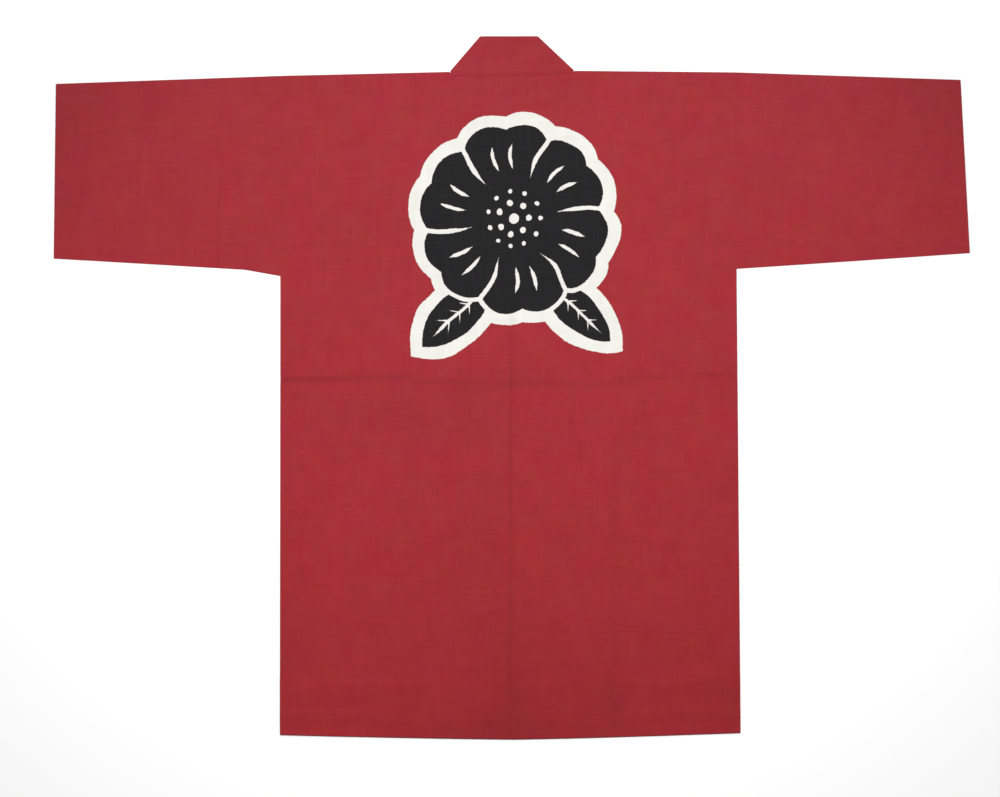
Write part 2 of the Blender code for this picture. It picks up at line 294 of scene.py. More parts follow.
# The band's own creases, across it where it passes over the centre seam and near its folds,
# with painted shade in their hollows and painted light on their ridges
BAND_CREASES = (
    (509.2, 34, 509.8, 78, -0.3, 1.7, -4.5, 0.05), (502, 34, 502.5, 78, 0.2, 3, 1.6, 0.1),
    (470, 71, 508, 71, 0.14, 3.2, 0.8, 0.3), (512, 73.5, 572, 72, -0.12, 2, -4, 0.1),
    (482, 46, 494, 44, -0.16, 3.4, -1.6), (522, 46, 556, 50, 0.12, 3.4, 0.6),
    (484, 58, 498, 64, -0.14, 4, -1), (502, 41, 560, 42, 0, 8, -3.5, 0.3),
)

# Places painted darker (tone below 0) or lighter, with soft borders: painted shade where the
# lamp's light falls off towards the hem and the cuffs, and painted light and shade of wrinkles.
# The middle and half size in points of the picture, and the tone in per cent
Shade = namedtuple("Shade", "x y half_width half_height tone")
SHADES = (
    (580, 738, 230, 56, -5.5), (512, 736, 78, 28, -9), (508, 676, 24, 46, -5),
    (562, 687, 40, 20, -2.5), (640, 696, 140, 30, -3), (470, 412, 110, 40, -4),
    (335, 505, 60, 110, 3.5), (690, 100, 64, 40, 2.5), (384, 240, 50, 60, -3), (354, 566, 13, 46, -3),
    (478, 428, 24, 12, -2.6), (352, 446, 30, 14, -2.4), (480, 478, 26, 7, -2.4),
    (614, 708, 12, 18, -3.5), (732, 664, 14, 9, -5), (302, 716, 16, 7, -3), (738, 704, 44, 58, -5),
    (690, 642, 72, 26, -4.2), (520, 652, 110, 28, -3), (50, 84, 110, 74, -11),
    (58, 190, 38, 70, -4.5), (966, 80, 76, 76, -11), (966, 190, 42, 60, -4), (340, 236, 26, 26, -4.5),
    (368, 410, 28, 14, -3.5), (520, 98, 80, 20, -4), (846, 190, 44, 56, 3), (470, 550, 40, 50, -3),
    (372, 584, 34, 34, 2.5), (476, 384, 64, 5, -5), (604, 384, 24, 4, -4), (797, 220, 30, 60, 3),
    (133, 88, 15, 8, -5), (284, 206, 5, 16, -4), (54, 130, 24, 70, -4), (468, 373, 30, 11, -4.5),
    (519, 374, 20, 8, -3), (463, 389, 12, 5, -4.5), (501, 399, 10, 6, 4.5), (588, 376, 10, 5, 4.5),
    (354, 429, 26, 16, -3), (505, 627, 26, 22, -4.5), (513, 686, 22, 22, -4), (408, 691, 20, 16, -3),
    (383, 732, 30, 12, -4.5), (486, 734, 30, 10, -3.5), (426, 729, 10, 6, 6), (735, 696, 7, 8, -6),
    (699, 711, 10, 6, 4.5), (701, 667, 12, 5, 4.5), (519, 106, 12, 8, 4.5), (286, 311, 6, 14, -5),
    (285, 656, 6, 12, -5), (293, 87, 10, 8, -4.5), (210, 84, 10, 5, -5),
)

# Slow swells of the whole surface: size along x and y in metres, start, height in millimetres
SWELLS = (
    (0.260, 0.190, 3.0, 0.42), (0.110, 0.080, 11.0, 0.30), (0.052, 0.034, 27.0, 0.15),
    (0.022, 0.012, 41.0, 0.045),
)

# The back over the hem's turning: (millimetres above the hem, height in millimetres)
HEM_PROFILE = (
    (0, 0.1), (13, 0.34), (20, 0.62), (27, 0.62), (38, 0.3), (54, 0.44), (64, 0.66), (71, 0.66),
    (82, 0),
)
# How strong that is along the hem, (x in metres, share), and its waver: (share, pace, start)
HEM_STRENGTH = ((-0.150, 1.35), (-0.110, 0.80), (0.060, 0.75), (0.130, 0.95))
HEM_WAVER = ((0.16, 57, 0.6), (0.10, 131, 0.0))
CUFF_PROFILE = ((0, 0.0), (5, 0.16), (15, 0.22), (19, 0.10), (22, 0.04), (28, 0.0))
CREASE_BOW = 0.45 * MM
CREASE_BOW_PACE = 5.0
PUCKER_PITCH = 13.5 * MM
PUCKER_RUN = 11.0 * MM
PUCKER_HEIGHT = 0.05 * MM
PUCKER_SWAY = 2.0
PUCKER_SWAY_PACE = 61
# Painted shade along the seams: tone, place to the viewer's right and half width in millimetres
SeamLine = namedtuple("SeamLine", "tone aside half_width")
CENTRE_LINES = (SeamLine(-0.108, 1.4, 2.6), SeamLine(-0.04, 5.6, 3.4), SeamLine(-0.015, -2.4, 1.6))
LOWER_LINE = SeamLine(-0.022, 12.5, 1.9)
ARMHOLE_LINES = (SeamLine(-0.022, 0.0, 5.4), SeamLine(-0.012, 0.0, 6.0))
# The centre seam lies flatter from the print's foot up and is fainter there and low down
PRINT_FOOT_ROW = 380
PRINT_FOOT_RUN = 250 * MM
LOWER_ROW = 600
LOWER_RUN = 120 * MM
FLATTER_AT_NECK = 0.6
FAINTER_AT_NECK = 0.75
FAINTER_LOW_DOWN = 0.55
SEAM_LINE_RUN = 14 * MM  # from the underarm up


def bell(d):
    return np.exp(-np.square(d))


def picture_x(px):
    return (px - PICTURE_CENTRE[0]) * PICTURE_POINT


def picture_y(py):
    return (PICTURE_CENTRE[1] - py) * PICTURE_POINT


def crease_sum(creases, key, x, y):
    """Sum over the creases of their height or tone at (x, y)."""
    total = np.zeros_like(x)
    for c in (Crease(*row) for row in creases):
        x0, y0, x1, y1 = picture_x(c.x0), picture_y(c.y0), picture_x(c.x1), picture_y(c.y1)
        run = math.hypot(x1 - x0, y1 - y0)
        ux, uy = (x1 - x0) / run, (y1 - y0) / run
        along = ((x - x0) * ux + (y - y0) * uy) / run
        bow = CREASE_BOW * np.sin(along * CREASE_BOW_PACE + c.x0)
        across = ((y - y0) * ux - (x - x0) * uy + bow) / (c.width * MM)
        ends = smooth(along / c.fade) * smooth((1 - along) / c.fade)
        total = total + getattr(c, key) * UNITS[key] * ends * np.exp(-across * across)
    return total


# Painted shade and painted light of the places in SHADES at (x, y)
def shade_tone(x, y):
    total = np.zeros_like(x)
    for s in (Shade(*row) for row in SHADES):
        across = (x - picture_x(s.x)) / (s.half_width * PICTURE_POINT)
        along = (y - picture_y(s.y)) / (s.half_height * PICTURE_POINT)
        total = total + s.tone * UNITS["tone"] * np.exp(-np.square(across) - np.square(along))
    return total


def swell_height(x, y):
    total = np.zeros(x.size)
    flat_x, flat_y = x.ravel().tolist(), y.ravel().tolist()
    for along_x, along_y, start, height in SWELLS:
        places = ((a / along_x, b / along_y, start) for a, b in zip(flat_x, flat_y))
        total += height * MM * np.array([noise.noise(place) for place in places])
    return total.reshape(x.shape)


def above_print_foot(y):
    """0 below the flower and 1 near the neck, where the centre seam lies flatter."""
    return smooth((y - picture_y(PRINT_FOOT_ROW)) / PRINT_FOOT_RUN)


def near_centre_seam(half, x, y):
    """A valley with small puckers, and the turnings under the cloth to its left."""
    d = (x - centre_x(y)) * half.sign
    turn = math.tau * y / PUCKER_PITCH + PUCKER_SWAY * np.sin(y * PUCKER_SWAY_PACE)
    puckers = PUCKER_HEIGHT * np.sin(turn) * np.exp(-np.abs(d) / PUCKER_RUN)
    depth = CENTRE_DIP * (1 - FLATTER_AT_NECK * above_print_foot(y))
    height = puckers - depth * bell(d / CENTRE_DIP_WIDTH)
    if half.sign < 0:
        rise = smooth(d / ALLOWANCE_START) * (1 - smooth((d - ALLOWANCE_WIDTH) / ALLOWANCE_END))
        height = height + ALLOWANCE_RISE * rise
    return height


def line_tone(line, d):
    return line.tone * bell((d / MM - line.aside) / line.half_width)


# Painted shade in the seams' grooves
def painted_seam_shade(x, y):
    """Painted shade along the seams, soft to one side, in the grooves where stitches draw the cloth
    in.
    """
    d = x - centre_x(y)
    lower = smooth((picture_y(LOWER_ROW) - y) / LOWER_RUN)
    strength = (1 - FAINTER_LOW_DOWN * lower) * (1 - FAINTER_AT_NECK * above_print_foot(y))
    total = strength * sum(line_tone(line, d) for line in CENTRE_LINES)
    total = total + lower * line_tone(LOWER_LINE, d)
    for half, line in zip(HALVES, ARMHOLE_LINES):
        from_seam = x - x_on_line(half.underarm, half.shoulder, y)
        sewn = smooth((y - half.underarm[1]) / SEAM_LINE_RUN)
        total = total + sewn * line_tone(line, from_seam)
    return total


def back_height(half, x, y):
    """Mid surface of the upper cloth of body and sleeves."""
    above_hem = (y - hem_y(half, x)) / MM
    waver = sum(share * np.sin(x * pace + start) for share, pace, start in HEM_WAVER)
    hem = ramp(above_hem, HEM_PROFILE) * MM * ramp(x, HEM_STRENGTH) * (1 + waver)
    return BACK_Z + hem + swell_height(x, y) + crease_sum(CREASES, "height", x, y)


def over_layers(half, x, y, z):
    """Keeps the back clear of the front and of the collar band under it."""
    outside = (x - front_edge_x(half, y)) * half.sign
    inside = (free_edge_x(half, y) - x) * half.sign
    on_band = (1 - smooth(outside / BAND_EDGE_SLOPE)) * (1 - smooth(inside / BAND_EDGE_SLOPE))
    front_top = FRONT_Z + front_relief(x, y) + WALL / 2
    lowest = lerp(front_top, BAND_TOP, on_band) + WALL / 2 + BAND_CLEARANCE
    return lowest + np.logaddexp(0, (z - lowest) / CONTACT_SOFTNESS) * CONTACT_SOFTNESS


# Surfaces


def body_lines(half, level):
    """How high each row is at the front's edge and at the side."""
    start = hem_y(half, front_edge_x(half, half.hem[1]))
    at_front = lerp(start, shoulder_y(half, half.neck[0]), level)
    return at_front, lerp(half.hem[1], half.shoulder[1], level)


def at_armhole(half, y):
    """0 along the closed side and 1 where the edge is sewn to the sleeve."""
    return smooth((y - half.underarm[1]) / UNDERARM_RUN + 1)


def body_plan(half, level):
    """X and Y of the back's columns over the band and of those that back and front share."""
    level = level[:, None]
    at_front, at_side = body_lines(half, level)
    fold_inset = (BACK_Z - FRONT_Z) / 2 + WALL / 2
    inset = lerp(fold_inset, STITCHED_GAP / 2, at_armhole(half, at_side))
    edge = side_x(half, at_side) - half.sign * inset
    centre = centre_x(at_front) + half.sign * STITCHED_GAP / 2
    front = front_edge_x(half, at_front)
    near_front = front - half.sign * 5 * MM
    x_in = lerp(centre, near_front, stops(CENTRE_TO_NECK)[None, :])
    x_out = lerp(front, edge, stops(NECK_TO_SIDE)[None, :])
    low_in, low_out = hem_y(half, x_in), hem_y(half, x_out)
    low_in, low_out = low_in + FOLD_RADIUS + WALL / 2, low_out + FOLD_RADIUS + WALL / 2
    y_in = lerp(low_in, neck_seam_y(x_in) + NECK_TUCK, level)
    y_out = lerp(low_out, shoulder_y(half, x_out) - fold_inset, level)
    return (x_in, y_in), (x_out, y_out)


def armhole_dip(half, x, y):
    """How far the cloth lies in along the armhole seam."""
    d = x - x_on_line(half.underarm, half.shoulder, y)
    sewn = smooth((y - half.underarm[1] + 2 * MM) / ARMHOLE_DIP_RUN)
    return ARMHOLE_DIP * sewn * bell(d / ARMHOLE_DIP_WIDTH)


def add(points, out):
    """Puts a block of rows x columns x 3 into the list of points and gives back their numbers."""
    first = sum(len(block) for block in out)
    out.append(points.reshape(-1, 3))
    return first + np.arange(points.shape[0] * points.shape[1]).reshape(points.shape[:2])


def quads(numbers):
    a, b = numbers[:-1, :-1], numbers[:-1, 1:]
    c, d = numbers[1:, 1:], numbers[1:, :-1]
    return np.stack([a, b, c, d], axis=-1).reshape(-1, 4)


def tube(rings):
    """Points and faces of a tube through closed rings of points."""
    blocks = []
    ids = add(rings, blocks)
    return blocks[0], [quads(np.concatenate([ids, ids[:, :1]], axis=1))]


def stack(x, y, z):
    return np.stack([x, y, z], axis=-1)


def fold_angles():
    return np.pi * np.arange(1, ARC_STEPS) / ARC_STEPS


def arc_between(start, end, outward):
    """Rows of points round a half turn from one row of points to another."""
    middle, radius = (start + end) / 2, (start - end) / 2
    reach = np.linalg.norm(radius, axis=-1, keepdims=True)
    return [middle + radius * math.cos(a) + outward * reach * math.sin(a) for a in fold_angles()]


def turning(edge, inward, along, surface_rows):
    """A folded edge: its arc, then the strip of cloth that lies inside. along points out."""
    rows = []
    for a in fold_angles():
        rows.append(edge + FOLD_RADIUS * (along * math.sin(a) + inward * (1 - math.cos(a))))
    return rows + [row + side * 2 * FOLD_RADIUS for row, side in surface_rows]


def front_relief(x, y):
    """The lower cloth lies on the floor, so its creases can only rise from it."""
    rise = np.maximum(0, -crease_sum(CREASES, "height", x, y))
    return np.minimum(rise * FRONT_SHARE, FRONT_RISE)


def settled(z, from_top, from_side):
    """The relief ends at the top fold, and is weaker at the side."""
    z = lerp(BACK_Z, z, smooth(from_top / FOLD_SETTLE))
    return lerp(BACK_Z + (z - BACK_Z) * SIDE_RELIEF, z, smooth(from_side / FOLD_SETTLE))


def make_body(half):
    """One length of cloth: up the front, over the shoulder and down the back."""
    level = stops(BODY_ROWS)
    (x_in, y_in), (x_out, y_out) = body_plan(half, level)
    z_in = back_height(half, x_in, y_in) + near_centre_seam(half, x_in, y_in)
    z_out = back_height(half, x_out, y_out)
    z_in = over_layers(half, x_in, y_in, z_in)
    z_out = over_layers(half, x_out, y_out, z_out)
    # The back's neck edge dips under the collar band
    below_seam = neck_seam_y(x_in) - y_in
    dip = 1 - smooth((below_seam + 0.4 * MM) / (3.4 * MM))
    z_in = lerp(z_in, BACK_Z - NECK_DIP, dip)
    from_side = np.maximum((side_x(half, y_out) - x_out) * half.sign, y_out - half.underarm[1])
    z_out = settled(z_out, shoulder_y(half, x_out) - y_out, from_side)
    z_out = z_out - armhole_dip(half, x_out, y_out)
    z_front = FRONT_Z + front_relief(x_out, y_out) + armhole_dip(half, x_out, y_out)

    back = np.concatenate([stack(x_in, y_in, z_in), stack(x_out, y_out, z_out)], axis=1)
    front = stack(x_out, y_out, z_front)[:, ::-1]
    _, at_side = body_lines(half, level)
    below = at_side <= half.underarm[1]
    outward = half.sign * X * (1 - at_armhole(half, at_side))[:, None]
    side = np.stack(arc_between(back[:, -1], front[:, 0], outward), axis=1)
    blocks, faces = [], []
    back_ids, front_ids = add(back, blocks), add(front, blocks)
    side_ids = add(side[below], blocks)
    count = below.sum()
    faces += [quads(back_ids), quads(front_ids)]
    around = np.concatenate([back_ids[:count, -1:], side_ids, front_ids[:count, :1]], axis=1)
    faces.append(quads(around))
    # Over the shoulder
    first = x_in.shape[1]
    over = np.stack(arc_between(back[-1, first:], front[-1, ::-1], Y), axis=0)
    over_ids = add(over, blocks)
    faces.append(quads(np.concatenate([back_ids[-1:, first:], over_ids, front_ids[-1:, ::-1]])))
    # The hem, folded inwards all round
    wrap = np.concatenate([back[:count], side[:count], front[:count]], axis=1)
    down = np.zeros_like(wrap[0])
    down[: back.shape[1], 2] = -1
    down[-front.shape[1] :, 2] = 1
    for i, a in enumerate(fold_angles()):
        down[back.shape[1] + i] = (-half.sign * math.sin(a), 0, -math.cos(a))
    above = (level * (half.shoulder[1] - half.hem[1]) < HEM_TURNING)[:count]
    strip = [(row, down) for row in wrap[above]]
    hem_rows = turning(wrap[0], down, -Y, strip)
    hem_ids = add(np.stack(hem_rows), blocks)
    first_row = np.concatenate([back_ids[0], side_ids[0], front_ids[0]])[None, :]
    faces.append(quads(np.concatenate([first_row, hem_ids])))
    points = np.concatenate(blocks)
    return finish(f"{half.name}_body", points, faces, cotton("printed_cotton"), painted_light_and_shade(points))


def make_sleeve(half):
    """A tube folded along the top and sewn below, with its cuff folded in."""
    share = stops(SLEEVE_COLUMNS)
    inset = (BACK_Z - FRONT_Z) / 2 + WALL / 2
    seam_inset = STITCHED_GAP / 2 * half.sign
    cuff_inset = (FOLD_RADIUS + WALL / 2) * half.sign
    top_x = lerp(half.shoulder[0] + seam_inset, half.cuff_top[0] - cuff_inset, share)
    low_x = lerp(half.underarm[0] + seam_inset, half.cuff_bottom[0] - cuff_inset, share)
    top_y = y_on_line(half.shoulder, half.cuff_top, top_x) - inset
    low_y = sleeve_bottom_y(half, low_x) + inset
    down = stops(SLEEVE_ROUND)[None, :]
    x = lerp(top_x[:, None], low_x[:, None], down)
    y = lerp(top_y[:, None], low_y[:, None], down)
    from_cuff = (lerp(half.cuff_top[0], half.cuff_bottom[0], down) - x) * half.sign / MM
    z = back_height(half, x, y) + ramp(from_cuff, CUFF_PROFILE) * MM
    z = over_layers(half, x, y, z)
    z = settled(z, top_y[:, None] + inset - y, y - low_y[:, None])
    dip = armhole_dip(half, x, y)
    upper = stack(x, y, z - dip)
    lower = stack(x, y, FRONT_Z + front_relief(x, y) + dip)[:, ::-1]
    bottom = np.stack(arc_between(upper[:, -1], lower[:, 0], -Y), axis=1)
    top = np.stack(arc_between(lower[:, -1], upper[:, 0], Y), axis=1)
    ring = np.concatenate([upper, bottom, lower, top], axis=1)
    inward = np.zeros_like(ring[0])
    inward[: upper.shape[1], 2] = -1
    inward[upper.shape[1] + bottom.shape[1] : -top.shape[1], 2] = 1
    for i, a in enumerate(fold_angles()):
        inward[upper.shape[1] + i] = (0, math.sin(a), -math.cos(a))
        inward[-top.shape[1] + i] = (0, -math.sin(a), math.cos(a))
    near_cuff = [i for i in range(len(share) - 1, 0, -1) if from_cuff[i].mean() < CUFF_TURNING / MM]
    rows = turning(ring[-1], inward, half.sign * X, [(ring[i], inward) for i in near_cuff])
    ring = np.concatenate([ring, np.stack(rows)])
    points, faces = tube(ring)
    tone = painted_light_and_shade(points)
    return finish(f"{half.name}_sleeve_cloth", points, faces, cotton("red_cotton"), tone)


def collar_fold(half):
    """Ends of the line that the band folds about at one side of the neck, and its outward way."""
    run = np.subtract(half.collar_top, half.neck)
    length = np.hypot(*run)
    outward = np.array([half.sign * abs(run[1]), abs(run[0])]) / length
    radius = (NECK_BAND_Z - BAND_Z) / 2
    inset = radius + FOLD_RADIUS + WALL / 2 + 0.05 * MM
    start = lerp(np.array(half.neck), np.array(half.collar_top), 1 * MM / length)
    return start - outward * inset, np.array(half.collar_top) - outward * inset, outward, radius


def band_row(sewn, free, z, normal):
    """One section of the band, a flat tube: sewn edge, free edge and the way its face looks."""
    sewn, free = np.append(sewn, z), np.append(free, z)
    across = (free - sewn) / np.linalg.norm(free - sewn)
    edge = across * (FOLD_RADIUS + WALL / 2)
    line = lerp(sewn + edge, free - edge, stops(COLLAR_ACROSS)[:, None])
    upper, lower = line + normal * FOLD_RADIUS, line - normal * FOLD_RADIUS
    arc = [(across * math.sin(a) + normal * math.cos(a)) * FOLD_RADIUS for a in fold_angles()]
    return np.concatenate([upper, line[-1] + arc, lower[::-1], line[0] - arc])


def collar_run(half):
    """Sections of the band down one front, from the hem up to the fold."""
    low, high, _, _ = collar_fold(half)
    start_y = hem_y(half, half.sign * FRONT_EDGE_FROM_CENTRE) + BAND_INSET
    sections = []
    for t in stops(COLLAR_RUN):
        y = lerp(start_y, low[1], t)
        turn = t**COLLAR_TURN_POWER
        sewn = np.array([front_edge_x(half, y) - half.sign * 0.15 * MM, y])
        sewn = lerp(sewn, low, smooth((t - 0.97) / 0.03))
        width = lerp(np.array([-half.sign * COLLAR_WIDTH, 0.0]), high - low, turn)
        sections.append(band_row(sewn, sewn + width, BAND_Z, -Z))
    return sections


def collar_turn(half):
    """Sections of the band round its fold, from the run below to the neck above."""
    low, high, outward, radius = collar_fold(half)
    middle = (BAND_Z + NECK_BAND_Z) / 2
    sections = []
    for i in range(1, 8):
        a = math.pi * i / 8
        shift = outward * radius * math.sin(a)
        normal = np.array([*(outward * math.sin(a)), -math.cos(a)])
        z = middle - radius * math.cos(a)
        sections.append(band_row(low + shift, high + shift, z, normal))
    return sections


def collar_neck():
    """Sections of the band across the back of the neck, from the left fold to the right one."""
    (left_low, left_high, _, _), (right_low, right_high, _, _) = map(collar_fold, HALVES)
    sections = [band_row(left_low, left_high, NECK_BAND_Z, Z)]
    for t in stops(COLLAR_NECK):
        low_x = lerp(NECK_SEAM_X[0] + BAND_INSET, NECK_SEAM_X[-1] - BAND_INSET, t)
        high_x = lerp(left_high[0], right_high[0], (t * 0.985) + 0.0075)
        sewn = np.array([low_x, neck_seam_y(low_x) - BAND_INSET])
        sections.append(band_row(sewn, np.array([high_x, HALVES[0].collar_top[1]]), NECK_BAND_Z, Z))
    sections.append(band_row(right_low, right_high, NECK_BAND_Z, Z))
    return sections


def make_collar():
    """One strip from hem to hem round the back of the neck."""
    left, right = HALVES
    neck = np.stack(collar_neck())
    on_top = neck[..., 2] > NECK_BAND_Z
    relief = crease_sum(BAND_CREASES, "height", neck[..., 0], neck[..., 1])
    neck[..., 2] += relief * on_top
    sections = collar_run(left) + collar_turn(left) + list(neck)
    sections += collar_turn(right)[::-1] + collar_run(right)[::-1]
    points, faces = tube(np.stack(sections))
    # Painted shade and painted light along the band's creases
    tone = crease_sum(BAND_CREASES, "tone", points[:, 0], points[:, 1])
    return finish("collar_band", points, faces, cotton("collar_cotton"), tone)


# The flower on the back, in millimetres from its middle

FLOWER_MIDDLE = (0.003, 0.228, 0.0)
FLOWER_WARP = 13.0  # how far the outline strays from a regular one
FLOWER_DEPTH = 1.0  # height above the floor that parts the back, which is printed, from the front
WHITE_BORDER = 16.5
EDGE_BLUR = 0.35
EDGE_WANDER = 2.2
EDGE_WANDER_PACE = (230, 230, 0)
WARP_PACE = (15, 15, 0)
# Petals, each with two round lobes
PETALS = 6
PETAL_TURN = math.radians(22)
PETAL_SWIRL = 0.05
SWIRL_PITCH = 17.0
LOBE_AT = (86.0, 19.0, 0.0)
LOBE_RADIUS = 40.0
FLOWER_CORE = 84.0
# White lines, by how far from the middle they swell and fade: (start, full, full, end, half width)
Line = namedtuple("Line", "start full fading end half_width")
PETAL_GAP = Line(46, 84, 400, 500, 3.0)
PETAL_VEIN = Line(60, 76, 92, 106, 2.4)
PETAL_VEIN_ANGLE = math.radians(8)
LINE_END = -1.6  # below 0, so that a line ends in a point and not in a hair
# Rings of small white dots at the middle: how many, how far out, radius
Ring = namedtuple("Ring", "count distance radius")
STAMENS = (Ring(7, 20, 3.9), Ring(11, 35, 2.9))
STIGMA_RADIUS = 6.5
# Leaves: the two ends and how wide it is
Leaf = namedtuple("Leaf", "x0 y0 x1 y1 width")
LEAVES = (
    Leaf(-34, -88, -124, -172, 56),
    Leaf(42, -86, 130, -164, 52),
)
LEAF_GAP = 6.0
LEAF_VEIN_PITCH = 19.0
LEAF_VEIN_SLANT = 0.9
# Along a leaf, as shares of its length
LEAF_RIB = Line(0.10, 0.30, 0.72, 0.93, 2.0)
LEAF_VEINS = Line(0.22, 0.34, 0.66, 0.80, 1.9)
# Across it, as shares of its width
VEINS_FADE_OUT = 0.36
VEINS_END = 0.34


def stretched(line, length):
    return Line(*(share * length for share in line[:4]), line.half_width)


def swelling(t, run, line):
    """Half width of a white line at a place along it."""
    grows = t.remap(run, line.start, line.full, LINE_END, line.half_width)
    fades = t.remap(run, line.end, line.fading, LINE_END, line.half_width)
    return t.least(grows, fades)


def turned(t, run, angle):
    """The point at a distance and an angle."""
    x, y = (t.mul(run, t.math(way, angle)) for way in ("COSINE", "SINE"))
    return t.node("CombineXYZ", {"X": x, "Y": y}).outputs[0]


def flower_head(t, point):
    """Distances to the outline of the petals and to the white lines and dots inside it."""
    run = t.vector("LENGTH", point)
    angle = t.math("ARCTAN2", t.part(point, "Y"), t.part(point, "X"))
    swirl = t.mul(t.math("SINE", t.math("DIVIDE", run, SWIRL_PITCH)), PETAL_SWIRL)
    half_petal = math.pi / PETALS
    from_axis = t.math("PINGPONG", t.add(t.add(angle, swirl), PETAL_TURN), half_petal)
    folded = turned(t, run, from_axis)
    lobe = t.sub(t.vector("DISTANCE", folded, LOBE_AT), LOBE_RADIUS)
    outline = t.least(lobe, t.sub(run, FLOWER_CORE))
    cuts = t.sub(run, STIGMA_RADIUS)
    for middle, line in ((half_petal, PETAL_GAP), (PETAL_VEIN_ANGLE, PETAL_VEIN)):
        aside = t.math("ABSOLUTE", t.math("SINE", t.sub(from_axis, middle)))
        away = t.sub(t.mul(aside, run), swelling(t, run, line))
        cuts = t.least(cuts, away)
    for ring in STAMENS:
        place = turned(t, run, t.math("PINGPONG", angle, math.pi / ring.count))
        away = t.sub(t.vector("DISTANCE", place, (ring.distance, 0.0, 0.0)), ring.radius)
        cuts = t.least(cuts, away)
    return outline, t.most(cuts, t.sub(outline, LEAF_GAP / 2))


def leaf_blade(t, point, leaf):
    """Distances to a pointed leaf, the space that two equal circles share, and to its veins."""
    length = math.hypot(leaf.x1 - leaf.x0, leaf.y1 - leaf.y0)
    ux, uy = (leaf.x1 - leaf.x0) / length, (leaf.y1 - leaf.y0) / length
    radius = (length * length / 4 + leaf.width * leaf.width / 4) / leaf.width
    reach = radius - leaf.width / 2
    mx, my = (leaf.x0 + leaf.x1) / 2, (leaf.y0 + leaf.y1) / 2
    sides = []
    for side in (-reach, reach):
        centre = (mx - uy * side, my + ux * side, 0.0)
        sides.append(t.sub(t.vector("DISTANCE", point, centre), radius))
    blade = t.most(*sides)
    along = t.sub(t.vector("DOT_PRODUCT", point, (ux, uy, 0.0)), leaf.x0 * ux + leaf.y0 * uy)
    across = t.vector("DOT_PRODUCT", point, (-uy, ux, 0.0))
    across = t.math("ABSOLUTE", t.sub(across, leaf.y0 * ux - leaf.x0 * uy))
    midrib = t.sub(across, swelling(t, along, stretched(LEAF_RIB, length)))
    slanted = t.sub(along, t.mul(across, LEAF_VEIN_SLANT))
    to_vein = t.math("PINGPONG", slanted, LEAF_VEIN_PITCH / 2)
    outwards = t.remap(across, 0.0, VEINS_FADE_OUT * leaf.width, LEAF_VEINS.half_width, LINE_END)
    vein = swelling(t, along, stretched(LEAF_VEINS, length))
    vein = t.sub(to_vein, t.least(vein, outwards))
    inside = t.sub(across, VEINS_END * leaf.width)
    return blade, t.least(midrib, t.most(vein, inside))


def printed(t, place, red):
    """The flower in black and white, its edges a little uneven as on dyed cloth."""
    shifted = t.vector("MULTIPLY", t.vector("SUBTRACT", place, FLOWER_MIDDLE), (1000.0, 1000.0, 0.0))
    stray = t.noise(place, WARP_PACE, 1.0, output="Color")
    stray = t.vector("SUBTRACT", stray, (0.5, 0.5, 0.5))
    stray = t.vector("MULTIPLY", stray, (FLOWER_WARP, FLOWER_WARP, 0.0))
    point = t.vector("ADD", shifted, stray)
    head, cuts = flower_head(t, point)
    outline, black = head, head
    beyond_head = t.sub(LEAF_GAP, head)
    for leaf in LEAVES:
        blade, veins = leaf_blade(t, point, leaf)
        outline = t.least(outline, blade)
        black = t.least(black, t.most(blade, beyond_head))
        cuts = t.least(cuts, t.most(veins, beyond_head))
    wander = t.mul(t.sub(t.noise(place, EDGE_WANDER_PACE, 3.0), 0.5), EDGE_WANDER)
    facing = t.part(t.node("TexCoord").outputs["Normal"], "Z")
    on_back = t.math("GREATER_THAN", t.part(place, "Z"), FLOWER_DEPTH * MM)
    on_back = t.mul(on_back, t.math("GREATER_THAN", facing, 0.0))

    def within(distance, edge, inside, outside):
        near = t.add(distance, wander)
        return t.remap(near, edge - EDGE_BLUR, edge + EDGE_BLUR, inside, outside, "SMOOTHSTEP")

    white = t.mul(within(outline, WHITE_BORDER, 1.0, 0.0), on_back)
    ink = t.mul(within(black, 0.0, 1.0, 0.0), within(cuts, 0.0, 0.0, 1.0))
    ink = t.mul(ink, on_back)
    return t.mix(ink, t.mix(white, red, WHITE), INK)


# Cotton

RED = (0.300, 0.0172, 0.0257, 1.0)
COLLAR_RED = (0.290, 0.0172, 0.0250, 1.0)
INK = (0.0060, 0.0052, 0.0062, 1.0)
WHITE = (0.690, 0.686, 0.640, 1.0)
THREAD_RED = (0.230, 0.014, 0.021, 1.0)

# Shares of green and blue that the dye has more or less of
UNEVEN_DYE = (("Green", "X", 0.18), ("Blue", "Y", -0.15))
# How often each unevenness comes in a metre along x, y and z
WEFT, WARP = (16, 430, 60), (430, 16, 60)
WEFT_PATCHES, WARP_PATCHES = (26, 96, 20), (96, 26, 20)
CLOUDS = (11, 9, 9)
CALM_PLACES = (17, 15, 9)
HUES = (30, 27, 9)
WEAVE_SCALE = 480.0
THREAD_TWIST = (900, 900, 900)
# What noise mostly stays within, and the sum of two noises
MOSTLY, SUM_MOSTLY = (0.34, 0.66), (0.6, 1.4)
# How much darker or lighter each makes the cloth
YARN_TONE = 0.028
PATCH_TONE = 0.066
CLOUD_TONE = 0.022
WEAVE_TONE = 0.03


def math_method(operation):
    """A short call for one kind of Math node."""
    return lambda tree, a, b: tree.math(operation, a, b)


